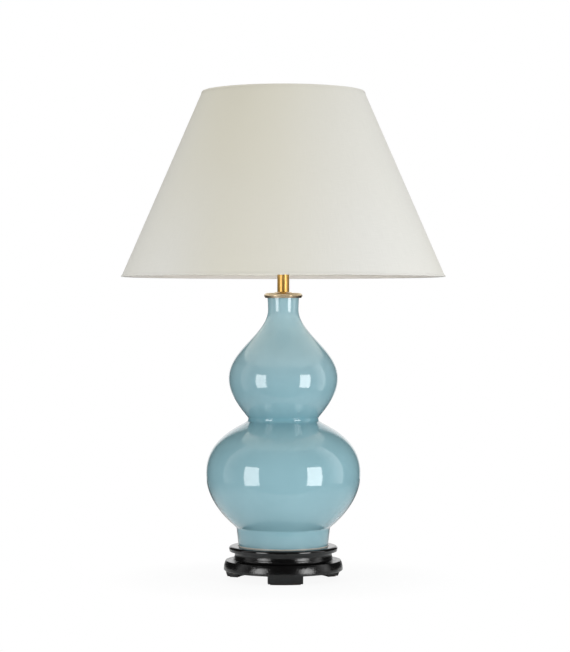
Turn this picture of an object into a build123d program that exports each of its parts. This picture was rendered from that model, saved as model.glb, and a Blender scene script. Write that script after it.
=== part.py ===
from build123d import *
from math import atan2, cos, degrees, radians, sin, tan
import os

# Double gourd table lamp: a glazed vase on a turned stand with three feet, clamped together
# by a hollow rod that ends in the lampholder, under an empire shade on a wire carrier.
#
# Millimetres. The origin is on the floor at the middle of the stand, +Z is up, and the
# front of the lamp, with one foot below it, faces -Y. Round pieces are drawn as half
# sections (radius, height) and turned about Z.

os.makedirs("parts", exist_ok=True)

# ---------------------------------------------------------------- driving dimensions
# stand: an apron ring with three feet, and the tray that is turned to sit on it
foot_count = 3
foot_width = 46.0
foot_inner_radius = 59.0
foot_height = 10.3  # from the felt pad up to the lower edge of the apron
foot_corner = 1.4
pad_thickness = 1.2
pad_margin = 3.0  # felt pad, in from the edge of the foot
apron_height = 13.5
apron_radius = 77.0  # at the ledge
apron_bulge = 2.5  # the apron's belly stands this far out of its ledge
foot_tuck = 0.5  # the toes draw in this far from the ledge
apron_bore_radius = 48.0
apron_edge = 1.2  # bevel of the lower edge between the feet
waist_height = 12.1
waist_radius = 64.9
waist_flare = 4.0  # cove at the foot of the waist
waist_hollow = 0.8  # how far the top of the waist stands out of its middle
rim_height = 6.9
rim_radius = 73.3
rim_tuck = 1.6  # the rim's side draws in this far towards its lower edge
rim_edge = 3.2
recess_depth = 4.0
register_depth = 3.0  # spigot of the tray in the bore of the apron
register_clearance = 0.2
clamp_recess_radius = 24.0
clamp_recess_depth = 8.6

# three screws that hold the tray to the apron
screw_circle_radius = 53.5
screw_radius = 2.0
screw_head_radius = 3.9
screw_length = 24.0
screw_clearance = 0.2
screw_sink_angle = 82.0

# rod, nut and washer
rod_radius = 5.0
rod_bore_radius = 3.6
rod_clearance = 0.2
rod_tail = 2.0  # below the nut
rod_head = 3.0  # above the floor of the lampholder's dome
washer_radius = 20.0
washer_thickness = 2.0
nut_sides = 6
nut_across_flats = 17.0
nut_thickness = 5.0

# bush where the supply lead enters, in the back of the apron
gland_bore_radius = 3.2
gland_body_radius = 4.4
gland_flange_radius = 5.4
gland_flange = 1.5
gland_edge = 0.7
gland_length = 13.0
gland_clearance = 0.1
lead_hole_radius = 3.5

# vase, from its foot upwards
gasket_thickness = 1.0
gasket_margin = 0.6  # in from the edges of the foot ring
vase_seat_clearance = 1.0
vase_foot_radius = 59.5
vase_foot_top_radius = 62.3
vase_foot_height = 26.0
foot_crease_rounding = 3.2
lower_belly_height = 74.6
belly_radius = 103.5
upper_belly_height = 72.1
gourd_waist_radius = 47.3
waist_rounding = 4.4
lower_bulb_height = 53.8
bulb_radius = 73.15
upper_bulb_height = 92.2
neck_radius = 20.55
lip_height = 21.1
lip_radius = 21.9
vase_wall = 4.6
vase_floor = 6.0
vase_foot_hollow = 5.0  # the floor is raised this far inside the foot ring
vase_foot_ring = 8.0
vase_hole_radius = 8.0
foot_rounding = 0.8
lip_rounding = 1.6

# how the gourd's curves leave the creases, in degrees from upright
below_belly_angle = 50.0
above_belly_angle = 53.3
below_bulb_angle = 37.6

# length of the pull at each end of a gourd curve, as a share of that curve's height
lower_belly_pulls = (0.387, 0.398)
upper_belly_pulls = (0.657, 0.134)
lower_bulb_pulls = (0.433, 0.223)
upper_bulb_pulls = (0.436, 0.350)

# brass cap on the lip, with the sleeve that centres the rod in the neck
cap_sheet = 1.2
cap_radius = 25.9
cap_skirt = 2.5  # straight part of the skirt
cap_skirt_taper = 1.5
cap_rounding = 4.4
cap_boss_radius = 11.0
cap_boss_height = 1.0
sleeve_length = 30.0
sleeve_clearance = 0.4

# tube between cap and lampholder
stem_radius = 8.0
stem_wall = 1.5
stem_length = 53.0

# lampholder
holder_sheet = 1.5
holder_boss_radius = 9.5
holder_boss_height = 4.0
holder_radius = 21.0
holder_dome_height = 15.0
holder_dome_side = 9.0
core_radius = 17.6
core_flange_radius = 20.3
core_flange = 2.0
core_fit = 0.15
core_depth = 8.0  # below its flange
core_rise = 31.0  # above its flange
core_floor = 6.0  # above the flange's lower face
core_wall = 3.4
skirt_radius = 19.9
skirt_sheet = 1.2
skirt_shoulder_radius = 23.0
skirt_shoulder = 4.0
skirt_length = 36.0
shade_ring_radius = 25.0
shade_ring_height = 6.5
shade_ring_edge = 1.1
shade_ring_fit = 0.05
terminal_radius = 2.4
terminal_length = 5.0
terminal_spread = 11.0

# push-through switch bar
bar_radius = 2.5
bar_length = 56.0
bar_edge = 1.2
bar_travel = 4.0
bar_clearance = 0.1
bar_wall_clearance = 0.4
bar_guide_width = 11.0
bar_guide_length = 22.0
bar_guide_wall = 1.6

# screw shell, contacts and bulb
shell_inner_radius = 13.45
shell_sheet = 0.4
shell_height = 24.5
shell_mouth_radius = 8.0  # hole in the floor of the shell
contact_width = 5.0
contact_strip = 0.5
contact_rise = 2.6
contact_step = 1.85  # the strip is six of these long
bulb_contact_radius = 4.6
bulb_contact_height = 1.6
bulb_insulator_radius = 10.8
bulb_insulator_height = 4.2
bulb_cap_clearance = 0.35
bulb_cap_sheet = 0.35
bulb_cap_height = 21.0
bulb_cap_mouth_radius = 8.0
glass_radius = 30.0
bulb_length = 105.0
glass_wall = 0.9
glass_socket = 6.0  # depth of the neck inside the cap
glass_flare_angle = 35.0  # below the equator, where the round top meets the neck's flare
glass_flare_pulls = (0.4, 0.45)

# shade carrier
collar_width = 7.0
collar_sheet = 1.5
collar_clearance = 0.4
carrier_arm_count = 3
carrier_arm_width = 9.0
carrier_arm_foot_radius = 42.0
carrier_arm_lean = 6.0  # the arms stand this much further out at the top
carrier_arm_bend = 7.0
carrier_height = 122.0
gallery_sheet = 1.5
gallery_inner_radius = 44.0
gallery_outer_radius = 55.0
gallery_lip_height = 4.0
gallery_lip_sheet = 1.2

# shade
shade_height = 247.4
shade_base_height = 403.2
shade_bottom_radius = 216.0
shade_top_radius = 108.1
cover_thickness = 0.8
liner_thickness = 0.6
wire_radius = 1.6
wire_gap = 0.1
trim_thickness = 0.4
trim_gap = 0.1
trim_outer_leg = 2.4
trim_inner_leg = 4.4
trim_corner = 0.35
trim_notch_clearance = 0.4
duplex_width = 7.0
duplex_sheet = 2.0
duplex_play = 1.0  # around the gallery's lip
spider_arm_count = 3
spider_arm_radius = 1.5
spider_arm_bend = 8.0
spider_arm_foot = 4.0  # the arms' level ends run this far out past the duplex ring
spider_weld = 0.4

# ---------------------------------------------------------------- heights worked out
foot_base = pad_thickness
apron_base = foot_base + foot_height
apron_top = apron_base + apron_height
rim_base = apron_top + waist_height
rim_top = rim_base + rim_height
recess_floor = rim_top - recess_depth
register_base = apron_top - register_depth
clamp_seat = register_base + clamp_recess_depth
nut_top = clamp_seat - washer_thickness
nut_base = nut_top - nut_thickness
gland_height = (apron_base + apron_top) / 2

vase_base = recess_floor + gasket_thickness
foot_crease_height = vase_base + vase_foot_height
belly_height = foot_crease_height + lower_belly_height
gourd_waist_height = belly_height + upper_belly_height
bulb_height = gourd_waist_height + lower_bulb_height
neck_height = bulb_height + upper_bulb_height
vase_top = neck_height + lip_height

cap_shelf = vase_top + cap_sheet
cap_top = cap_shelf + cap_boss_height
holder_base = cap_top + stem_length
boss_top = holder_base + holder_boss_height
dome_side_base = boss_top + holder_dome_height
dome_top = dome_side_base + holder_dome_side
core_base = dome_top - core_depth
shell_seat = dome_top + core_floor
contact_top = shell_seat + contact_strip + contact_rise
shoulder_top = dome_top + skirt_shoulder
bar_height = core_base - bar_radius - bar_clearance

bulb_cap_base = contact_top + bulb_contact_height + bulb_insulator_height
bulb_cap_top = bulb_cap_base + bulb_cap_height
glass_centre = contact_top + bulb_length - glass_radius
gallery_base = shoulder_top + carrier_height
gallery_top = gallery_base + gallery_sheet

# ---------------------------------------------------------------- radii worked out
front = -90
apron_belly = apron_radius + apron_bulge
foot_toe_radius = apron_radius - foot_tuck
rod_hole_radius = rod_radius + rod_clearance
foot_ring_radius = vase_foot_radius - vase_foot_ring
collar_inner_radius = skirt_radius + collar_clearance
collar_outer_radius = collar_inner_radius + collar_width
bulb_cap_radius = shell_inner_radius - bulb_cap_clearance
glass_neck_radius = bulb_cap_radius - bulb_cap_sheet
duplex_inner_radius = gallery_inner_radius + gallery_lip_sheet + duplex_play
duplex_outer_radius = duplex_inner_radius + duplex_width


def around(count, first):
    """Angles of a ring of equal things."""
    return [first + 360 / count * step for step in range(count)]


def upright(angle, radius=0.0, height=0.0):
    """Plane that stands on a point of the lamp: local x runs outwards at the angle, y is up."""
    outwards = Vector(cos(radians(angle)), sin(radians(angle)), 0)
    across = (sin(radians(angle)), -cos(radians(angle)), 0)
    return Plane(outwards * radius + Vector(0, 0, height), x_dir=outwards, z_dir=across)


foot_angles = around(foot_count, front)
carrier_arm_angles = around(carrier_arm_count, front)
spider_arm_angles = around(spider_arm_count, front + 180 / spider_arm_count)


# ---------------------------------------------------------------- stand
def between_feet(width):
    """Flat outline of everything but the feet: a disc without one bar for each foot."""
    with BuildSketch() as gaps:
        Circle(apron_belly * 2)
        for angle in foot_angles:
            with Locations(Location((0, 0, 0), (0, 0, angle))):
                with Locations((apron_belly, 0)):
                    Rectangle(apron_belly * 2, width, mode=Mode.SUBTRACT)
    return gaps.sketch


rear = Plane((0, apron_belly - gland_flange, gland_height), x_dir=(-1, 0, 0), z_dir=(0, 1, 0))

# bevel of the apron's lower edge, stopped just short of the feet
with BuildPart() as lower_bevel:
    with BuildSketch(Plane.XZ):
        Polygon(
            (apron_belly - 2 * apron_edge, apron_base - apron_edge),
            (apron_belly + apron_edge, apron_base - apron_edge),
            (apron_belly + apron_edge, apron_base + 2 * apron_edge),
            align=None,
        )
    revolve(axis=Axis.Z)
    extrude(between_feet(foot_width + 2 * foot_corner), amount=apron_top, mode=Mode.INTERSECT)

with BuildPart() as stand_apron:
    with BuildSketch(Plane.XZ):
        with BuildLine():
            bulge = ThreePointArc(
                (apron_radius, apron_top),
                (apron_belly, (foot_base + apron_top) / 2),
                (foot_toe_radius, foot_base),
            )
            Polyline(
                bulge @ 1,
                (foot_inner_radius, foot_base),
                (foot_inner_radius, apron_base),
                (apron_bore_radius, apron_base),
                (apron_bore_radius, apron_top),
                bulge @ 0,
            )
        make_face()
    revolve(axis=Axis.Z)
    extrude(between_feet(foot_width), amount=apron_base, mode=Mode.SUBTRACT)
    below_apron = stand_apron.edges().filter_by_position(Axis.Z, foot_base, apron_base)
    foot_corners = below_apron.filter_by(lambda edge: edge.bounding_box().size.Z > foot_height / 2)
    fillet(foot_corners, foot_corner)
    add(lower_bevel.part, mode=Mode.SUBTRACT)
    # stepped hole for the lead's bush, from the back into the bore
    with BuildSketch(rear):
        Circle(gland_flange_radius + gland_clearance)
    extrude(amount=gland_flange * 2, mode=Mode.SUBTRACT)
    with BuildSketch(rear):
        Circle(gland_body_radius + gland_clearance)
    extrude(amount=-(gland_length - gland_flange), mode=Mode.SUBTRACT)
    with BuildSketch(rear):
        Circle(lead_hole_radius)
    extrude(amount=-(apron_belly - apron_bore_radius), mode=Mode.SUBTRACT)
    for angle in foot_angles:
        with Locations(Location(upright(angle, screw_circle_radius, apron_base).origin, (180, 0, 0))):
            CounterSinkHole(
                screw_radius + screw_clearance,
                screw_head_radius + screw_clearance,
                apron_height,
                screw_sink_angle,
            )
stand_apron.part.label = "stand_apron"
export_step(stand_apron.part, "parts/stand_apron.step")

recess_radius = vase_foot_radius + vase_seat_clearance
register_radius = apron_bore_radius - register_clearance
waist_end_radius = waist_radius + waist_hollow
cove_top = apron_top + waist_flare

with BuildPart() as stand_tray:
    with BuildSketch(Plane.XZ):
        with BuildLine():
            waist = ThreePointArc(
                (waist_end_radius, rim_base),
                (waist_radius, (rim_base + cove_top) / 2),
                (waist_end_radius, cove_top),
            )
            cove = CenterArc((waist_end_radius + waist_flare, cove_top), waist_flare, 180, 90)
            Polyline(
                cove @ 1,
                (register_radius, apron_top),
                (register_radius, register_base),
                (clamp_recess_radius, register_base),
                (clamp_recess_radius, clamp_seat),
                (rod_hole_radius, clamp_seat),
                (rod_hole_radius, recess_floor),
                (recess_radius, recess_floor),
                (recess_radius, rim_top),
                (rim_radius, rim_top),
                (rim_radius - rim_tuck, rim_base),
                waist @ 0,
            )
        make_face()
    revolve(axis=Axis.Z)
    rim_edges = stand_tray.edges().filter_by(GeomType.CIRCLE).filter_by_position(Axis.Z, rim_base, rim_top)
    fillet(rim_edges.sort_by(SortBy.RADIUS)[-1], rim_edge)
    for angle in foot_angles:
        with BuildSketch(Plane.XY.offset(apron_top)):
            with Locations(upright(angle, screw_circle_radius).origin):
                Circle(screw_radius)
        extrude(amount=screw_length - apron_height, mode=Mode.SUBTRACT)
stand_tray.part.label = "stand_tray"
export_step(stand_tray.part, "parts/stand_tray.step")

sink_depth = (screw_head_radius - screw_radius) / tan(radians(screw_sink_angle / 2))

with BuildPart() as stand_screws:
    for angle in foot_angles:
        axis_point = upright(angle, screw_circle_radius, apron_base)
        with BuildSketch(axis_point):
            Polygon(
                (0, 0),
                (screw_head_radius, 0),
                (screw_radius, sink_depth),
                (screw_radius, screw_length - screw_radius),
                (0, screw_length),
                align=None,
            )
        revolve(axis=Axis(axis_point.origin, (0, 0, 1)))
stand_screws.part.label = "stand_screws"
export_step(stand_screws.part, "parts/stand_screws.step")

with BuildPart() as foot_pads:
    with BuildSketch():
        Circle(foot_toe_radius - pad_margin)
        Circle(foot_inner_radius + pad_margin, mode=Mode.SUBTRACT)
    extrude(amount=pad_thickness)
    extrude(between_feet(foot_width - 2 * pad_margin), amount=pad_thickness, mode=Mode.SUBTRACT)
foot_pads.part.label = "foot_pads"
export_step(foot_pads.part, "parts/foot_pads.step")

with BuildPart() as cord_bush:
    with BuildSketch(rear):
        Circle(gland_flange_radius)
    extrude(amount=gland_flange)
    with BuildSketch(rear):
        Circle(gland_body_radius)
    extrude(amount=-(gland_length - gland_flange))
    fillet(cord_bush.edges().sort_by(Axis.Y)[-1], gland_edge)
    with Locations(rear.offset(gland_flange)):
        Hole(gland_bore_radius)
cord_bush.part.label = "cord_bush"
export_step(cord_bush.part, "parts/cord_bush.step")

# ---------------------------------------------------------------- rod, washer and nut
with BuildPart() as base_washer:
    with BuildSketch(Plane.XY.offset(nut_top)):
        Circle(washer_radius)
        Circle(rod_hole_radius, mode=Mode.SUBTRACT)
    extrude(amount=washer_thickness)
base_washer.part.label = "base_washer"
export_step(base_washer.part, "parts/base_washer.step")

with BuildPart() as base_nut:
    with BuildSketch(Plane.XY.offset(nut_base)):
        RegularPolygon(nut_across_flats / 2, nut_sides, major_radius=False)
        Circle(rod_radius, mode=Mode.SUBTRACT)
    extrude(amount=nut_thickness)
base_nut.part.label = "base_nut"
export_step(base_nut.part, "parts/base_nut.step")

rod_base = nut_base - rod_tail
rod_top = boss_top + holder_sheet + rod_head

with BuildPart() as hollow_rod:
    with BuildSketch(Plane.XY.offset(rod_base)):
        Circle(rod_radius)
        Circle(rod_bore_radius, mode=Mode.SUBTRACT)
    extrude(amount=rod_top - rod_base)
hollow_rod.part.label = "hollow_rod"
export_step(hollow_rod.part, "parts/hollow_rod.step")

# ---------------------------------------------------------------- vase
with BuildPart() as seat_gasket:
    with BuildSketch(Plane.XY.offset(recess_floor)):
        Circle(vase_foot_radius - gasket_margin)
        Circle(foot_ring_radius + gasket_margin, mode=Mode.SUBTRACT)
    extrude(amount=gasket_thickness)
seat_gasket.part.label = "seat_gasket"
export_step(seat_gasket.part, "parts/seat_gasket.step")

foot_lean = degrees(atan2(vase_foot_top_radius - vase_foot_radius, vase_foot_height))


def swell(start, start_way, end, end_way, height, pulls):
    """Cubic curve between two points, pulled along its end tangents by shares of its height."""
    start_pull = Vector(*start_way) * (height * pulls[0])
    end_pull = Vector(*end_way) * (height * pulls[1])
    return Bezier(start, Vector(*start) + start_pull, Vector(*end) + end_pull, end)


def gourd_wall(inset):
    """One face of the vase's wall from foot to lip: the outside at no inset.

    The two creases are arcs about centres outside the wall, so they open out by the inset,
    and four cubic curves swell from them to the belly, the bulb and the neck.
    """
    down, up = (0, -1), (0, 1)
    foot_crease = CenterArc(
        (vase_foot_top_radius + foot_crease_rounding, foot_crease_height),
        foot_crease_rounding + inset,
        180 - foot_lean,
        foot_lean - below_belly_angle,
    )
    waist_crease = CenterArc(
        (gourd_waist_radius + waist_rounding, gourd_waist_height),
        waist_rounding + inset,
        180 + above_belly_angle,
        -(above_belly_angle + below_bulb_angle),
    )
    belly = (belly_radius - inset, belly_height)
    bulb = (bulb_radius - inset, bulb_height)
    neck = (neck_radius - inset, neck_height)
    swell(belly, down, foot_crease @ 1, foot_crease % 1, lower_belly_height, lower_belly_pulls)
    swell(belly, up, waist_crease @ 0, (waist_crease % 0) * -1, upper_belly_height, upper_belly_pulls)
    swell(bulb, down, waist_crease @ 1, waist_crease % 1, lower_bulb_height, lower_bulb_pulls)
    swell(bulb, up, neck, down, upper_bulb_height, upper_bulb_pulls)
    lip = TangentArc(neck, (lip_radius - inset, vase_top), tangent=up)
    return foot_crease @ 0, lip @ 1


with BuildPart() as gourd_vase:
    with BuildSketch(Plane.XZ):
        with BuildLine():
            outer_foot, outer_lip = gourd_wall(0)
            inner_foot, inner_lip = gourd_wall(vase_wall)
            Line(outer_lip, inner_lip)
            Polyline(
                inner_foot,
                (vase_foot_radius - vase_wall, vase_base + vase_foot_hollow + vase_floor),
                (vase_hole_radius, vase_base + vase_foot_hollow + vase_floor),
                (vase_hole_radius, vase_base + vase_foot_hollow),
                (foot_ring_radius, vase_base + vase_foot_hollow),
                (foot_ring_radius, vase_base),
                (vase_foot_radius, vase_base),
                outer_foot,
            )
        make_face()
    revolve(axis=Axis.Z)
    circles = gourd_vase.edges().filter_by(GeomType.CIRCLE).group_by(Axis.Z)
    fillet(circles[0], foot_rounding)
    fillet(circles[-1], lip_rounding)
gourd_vase.part.label = "gourd_vase"
export_step(gourd_vase.part, "parts/gourd_vase.step")

# ---------------------------------------------------------------- cap, sleeve and stem
skirt_top = cap_shelf - cap_rounding

with BuildPart() as neck_cap:
    with BuildSketch(Plane.XZ):
        with BuildLine():
            Line((cap_radius - cap_skirt_taper, skirt_top - cap_skirt), (cap_radius, skirt_top))
            shoulder = CenterArc((cap_radius - cap_rounding, skirt_top), cap_rounding, 0, 90)
            Polyline(
                shoulder @ 1,
                (cap_boss_radius + cap_boss_height, cap_shelf),
                (cap_boss_radius, cap_top),
                (rod_hole_radius, cap_top),
            )
            offset(amount=cap_sheet, side=Side.LEFT)
        make_face()
    revolve(axis=Axis.Z)
neck_cap.part.label = "neck_cap"
export_step(neck_cap.part, "parts/neck_cap.step")

with BuildPart() as neck_sleeve:
    with BuildSketch(Plane.XY.offset(vase_top - sleeve_length)):
        Circle(neck_radius - vase_wall - sleeve_clearance)
        Circle(rod_hole_radius, mode=Mode.SUBTRACT)
    extrude(amount=sleeve_length)
neck_sleeve.part.label = "neck_sleeve"
export_step(neck_sleeve.part, "parts/neck_sleeve.step")

with BuildPart() as stem_tube:
    with BuildSketch(Plane.XY.offset(cap_top)):
        Circle(stem_radius)
        Circle(stem_radius - stem_wall, mode=Mode.SUBTRACT)
    extrude(amount=stem_length)
stem_tube.part.label = "stem_tube"
export_step(stem_tube.part, "parts/stem_tube.step")

# ---------------------------------------------------------------- lampholder
holder_inner_radius = holder_radius - holder_sheet

with BuildPart() as holder_dome:
    with BuildSketch(Plane.XZ):
        with BuildLine():
            outside = TangentArc(
                (holder_radius, dome_side_base), (holder_boss_radius, boss_top), tangent=(0, -1)
            )
            inside = TangentArc(
                (holder_inner_radius, dome_side_base),
                (holder_boss_radius, boss_top + holder_sheet),
                tangent=(0, -1),
            )
            Polyline(
                outside @ 1,
                (holder_boss_radius, holder_base),
                (rod_radius, holder_base),
                (rod_radius, boss_top + holder_sheet),
                inside @ 1,
            )
            Polyline(
                inside @ 0,
                (holder_inner_radius, dome_top),
                (holder_radius, dome_top),
                outside @ 0,
            )
        make_face()
    revolve(axis=Axis.Z)
    with BuildSketch(Plane.YZ):
        with Locations((0, bar_height)):
            Circle(bar_radius + bar_wall_clearance)
    extrude(amount=bar_length, both=True, mode=Mode.SUBTRACT)
holder_dome.part.label = "holder_dome"
export_step(holder_dome.part, "parts/holder_dome.step")

with BuildPart() as holder_core:
    with BuildSketch(Plane.XZ):
        Polygon(
            (0, core_base),
            (core_radius, core_base),
            (core_radius, dome_top),
            (core_flange_radius, dome_top),
            (core_flange_radius, dome_top + core_flange),
            (core_radius, dome_top + core_flange),
            (core_radius, dome_top + core_rise),
            (core_radius - core_wall, dome_top + core_rise),
            (core_radius - core_wall, shell_seat),
            (0, shell_seat),
            align=None,
        )
    revolve(axis=Axis.Z)
    with BuildSketch(Plane.XY.offset(core_base)):
        Rectangle(bar_guide_length, bar_guide_width)
    extrude(amount=-(2 * (bar_radius + bar_clearance) + bar_guide_wall))
    with BuildSketch(Plane.YZ):
        with Locations((0, bar_height)):
            Circle(bar_radius + bar_clearance)
    extrude(amount=bar_guide_length, both=True, mode=Mode.SUBTRACT)
holder_core.part.label = "holder_core"
export_step(holder_core.part, "parts/holder_core.step")

with BuildPart() as terminal_screws:
    with BuildSketch(Plane.XY.offset(core_base)):
        with Locations((0, terminal_spread), (0, -terminal_spread)):
            Circle(terminal_radius)
    extrude(amount=-terminal_length)
terminal_screws.part.label = "terminal_screws"
export_step(terminal_screws.part, "parts/terminal_screws.step")

with BuildPart() as holder_skirt:
    with BuildSketch(Plane.XZ):
        Polygon(
            (core_flange_radius + core_fit, dome_top),
            (skirt_shoulder_radius, dome_top),
            (skirt_shoulder_radius, shoulder_top),
            (skirt_radius, shoulder_top),
            (skirt_radius, dome_top + skirt_length),
            (skirt_radius - skirt_sheet, dome_top + skirt_length),
            (skirt_radius - skirt_sheet, dome_top + core_flange),
            (core_flange_radius + core_fit, dome_top + core_flange),
            align=None,
        )
    revolve(axis=Axis.Z)
holder_skirt.part.label = "holder_skirt"
export_step(holder_skirt.part, "parts/holder_skirt.step")

with BuildPart() as shade_ring:
    with BuildSketch(Plane.XY.offset(shoulder_top + collar_sheet)):
        Circle(shade_ring_radius)
        Circle(skirt_radius + shade_ring_fit, mode=Mode.SUBTRACT)
    extrude(amount=shade_ring_height)
    outer_edges = shade_ring.edges().filter_by(GeomType.CIRCLE).sort_by(SortBy.RADIUS)[-2:]
    fillet(outer_edges, shade_ring_edge)
shade_ring.part.label = "shade_ring"
export_step(shade_ring.part, "parts/shade_ring.step")

with BuildPart() as switch_bar:
    with BuildSketch(Plane.YZ.offset(-(bar_length + bar_travel) / 2)):
        with Locations((0, bar_height)):
            Circle(bar_radius)
    extrude(amount=bar_length)
    fillet(switch_bar.edges().filter_by(GeomType.CIRCLE), bar_edge)
switch_bar.part.label = "switch_bar"
export_step(switch_bar.part, "parts/switch_bar.step")

with BuildPart() as screw_shell:
    with BuildSketch(Plane.XY.offset(shell_seat)):
        Circle(shell_inner_radius + shell_sheet)
    extrude(amount=shell_height)
    with BuildSketch(Plane.XY.offset(shell_seat + shell_sheet)):
        Circle(shell_inner_radius)
    extrude(amount=shell_height, mode=Mode.SUBTRACT)
    with Locations((0, 0, shell_seat)):
        Hole(shell_mouth_radius)
screw_shell.part.label = "screw_shell"
export_step(screw_shell.part, "parts/screw_shell.step")

with BuildPart() as centre_contact:
    with BuildSketch(Plane.XZ):
        with BuildLine():
            Polyline(
                (-3 * contact_step, shell_seat),
                (-2 * contact_step, shell_seat),
                (-contact_step, shell_seat + contact_rise),
                (contact_step, shell_seat + contact_rise),
                (2 * contact_step, shell_seat),
                (3 * contact_step, shell_seat),
            )
            offset(amount=contact_strip, side=Side.LEFT)
        make_face()
    extrude(amount=contact_width / 2, both=True)
centre_contact.part.label = "centre_contact"
export_step(centre_contact.part, "parts/centre_contact.step")

# ---------------------------------------------------------------- bulb
with BuildPart() as bulb_contact:
    with BuildSketch(Plane.XY.offset(contact_top)):
        Circle(bulb_contact_radius)
    extrude(amount=bulb_contact_height)
bulb_contact.part.label = "bulb_contact"
export_step(bulb_contact.part, "parts/bulb_contact.step")

with BuildPart() as bulb_insulator:
    with BuildSketch(Plane.XZ):
        Polygon(
            (0, contact_top + bulb_contact_height),
            (bulb_contact_radius, contact_top + bulb_contact_height),
            (bulb_insulator_radius, bulb_cap_base),
            (0, bulb_cap_base),
            align=None,
        )
    revolve(axis=Axis.Z)
bulb_insulator.part.label = "bulb_insulator"
export_step(bulb_insulator.part, "parts/bulb_insulator.step")

cap_shoulder = bulb_cap_radius - bulb_insulator_radius

with BuildPart() as bulb_cap:
    with BuildSketch(Plane.XZ):
        with BuildLine():
            Polyline(
                (bulb_cap_mouth_radius, bulb_cap_base),
                (bulb_insulator_radius, bulb_cap_base),
                (bulb_cap_radius, bulb_cap_base + cap_shoulder),
                (bulb_cap_radius, bulb_cap_top),
            )
            offset(amount=bulb_cap_sheet, side=Side.LEFT)
        make_face()
    revolve(axis=Axis.Z)
bulb_cap.part.label = "bulb_cap"
export_step(bulb_cap.part, "parts/bulb_cap.step")


def glass_face(inset):
    """One face of the glass: straight neck, flare, and a ball closed at the top."""
    ball = CenterArc((0, glass_centre), glass_radius - inset, -glass_flare_angle, 90 + glass_flare_angle)
    neck_top = (glass_neck_radius - inset, bulb_cap_top)
    flare_height = (ball @ 0).Y - bulb_cap_top
    swell(neck_top, (0, 1), ball @ 0, (ball % 0) * -1, flare_height, glass_flare_pulls)
    neck_base = (glass_neck_radius - inset, bulb_cap_top - glass_socket + inset)
    foot = (0, bulb_cap_top - glass_socket + inset)
    Polyline(neck_top, neck_base, foot)
    return foot, ball @ 1


with BuildPart() as bulb_glass:
    with BuildSketch(Plane.XZ):
        with BuildLine():
            outer_foot, outer_crown = glass_face(0)
            inner_foot, inner_crown = glass_face(glass_wall)
            Line(outer_foot, inner_foot)
            Line(outer_crown, inner_crown)
        make_face()
    revolve(axis=Axis.Z)
bulb_glass.part.label = "bulb_glass"
export_step(bulb_glass.part, "parts/bulb_glass.step")

# ---------------------------------------------------------------- shade carrier
with BuildPart() as carrier_frame:
    with BuildSketch(Plane.XY.offset(shoulder_top)):
        Circle(collar_outer_radius)
    extrude(amount=collar_sheet)
    for angle in carrier_arm_angles:
        with BuildSketch(upright(angle)):
            with BuildLine():
                FilletPolyline(
                    (skirt_radius, shoulder_top),
                    (carrier_arm_foot_radius, shoulder_top),
                    (carrier_arm_foot_radius + carrier_arm_lean, gallery_top),
                    radius=carrier_arm_bend,
                )
                offset(amount=collar_sheet, side=Side.LEFT)
            make_face()
        extrude(amount=carrier_arm_width / 2, both=True)
    with BuildSketch(Plane.XY.offset(shoulder_top)):
        Circle(collar_inner_radius)
    extrude(amount=collar_sheet, mode=Mode.SUBTRACT)
    split(bisect_by=Plane.XY.offset(gallery_base), keep=Keep.BOTTOM)
carrier_frame.part.label = "carrier_frame"
export_step(carrier_frame.part, "parts/carrier_frame.step")

with BuildPart() as gallery_ring:
    with BuildSketch(Plane.XY.offset(gallery_base)):
        Circle(gallery_outer_radius)
    extrude(amount=gallery_sheet)
    with BuildSketch(Plane.XY.offset(gallery_top)):
        Circle(gallery_inner_radius + gallery_lip_sheet)
    extrude(amount=gallery_lip_height)
    with BuildSketch(Plane.XY.offset(gallery_base)):
        Circle(gallery_inner_radius)
    extrude(amount=gallery_sheet + gallery_lip_height, mode=Mode.SUBTRACT)
gallery_ring.part.label = "gallery_ring"
export_step(gallery_ring.part, "parts/gallery_ring.step")

# ---------------------------------------------------------------- shade
shade_angle = atan2(shade_bottom_radius - shade_top_radius, shade_height)
edge_allowance = trim_thickness + trim_gap
cloth_base = shade_base_height + edge_allowance
cloth_top = shade_base_height + shade_height - edge_allowance
wall_thickness = cover_thickness + liner_thickness


def shade_radius(height, depth=0.0):
    """Radius of the slanted wall at a height, a depth in from the outside of the cover."""
    return shade_bottom_radius - (height - shade_base_height) * tan(shade_angle) - depth / cos(shade_angle)


def slanted_wall(outer_depth, inner_depth):
    """Corners of the half section of one layer of the wall."""
    return [
        (shade_radius(cloth_base, outer_depth), cloth_base),
        (shade_radius(cloth_top, outer_depth), cloth_top),
        (shade_radius(cloth_top, inner_depth), cloth_top),
        (shade_radius(cloth_base, inner_depth), cloth_base),
    ]


with BuildPart() as shade_cover:
    with BuildSketch(Plane.XZ):
        Polygon(*slanted_wall(0, cover_thickness), align=None)
    revolve(axis=Axis.Z)
shade_cover.part.label = "shade_cover"
export_step(shade_cover.part, "parts/shade_cover.step")

with BuildPart() as shade_liner:
    with BuildSketch(Plane.XZ):
        Polygon(*slanted_wall(cover_thickness, wall_thickness), align=None)
    revolve(axis=Axis.Z)
shade_liner.part.label = "shade_liner"
export_step(shade_liner.part, "parts/shade_liner.step")

bottom_wire_height = cloth_base + wire_radius
top_wire_height = cloth_top - wire_radius
bottom_wire_reach = shade_radius(bottom_wire_height, wall_thickness + wire_radius + wire_gap)
top_wire_reach = shade_radius(top_wire_height, wall_thickness + wire_radius + wire_gap)

with BuildPart() as shade_bottom_ring:
    with BuildSketch(Plane.XZ):
        with Locations((bottom_wire_reach, bottom_wire_height)):
            Circle(wire_radius)
    revolve(axis=Axis.Z)
shade_bottom_ring.part.label = "shade_bottom_ring"
export_step(shade_bottom_ring.part, "parts/shade_bottom_ring.step")

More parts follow.
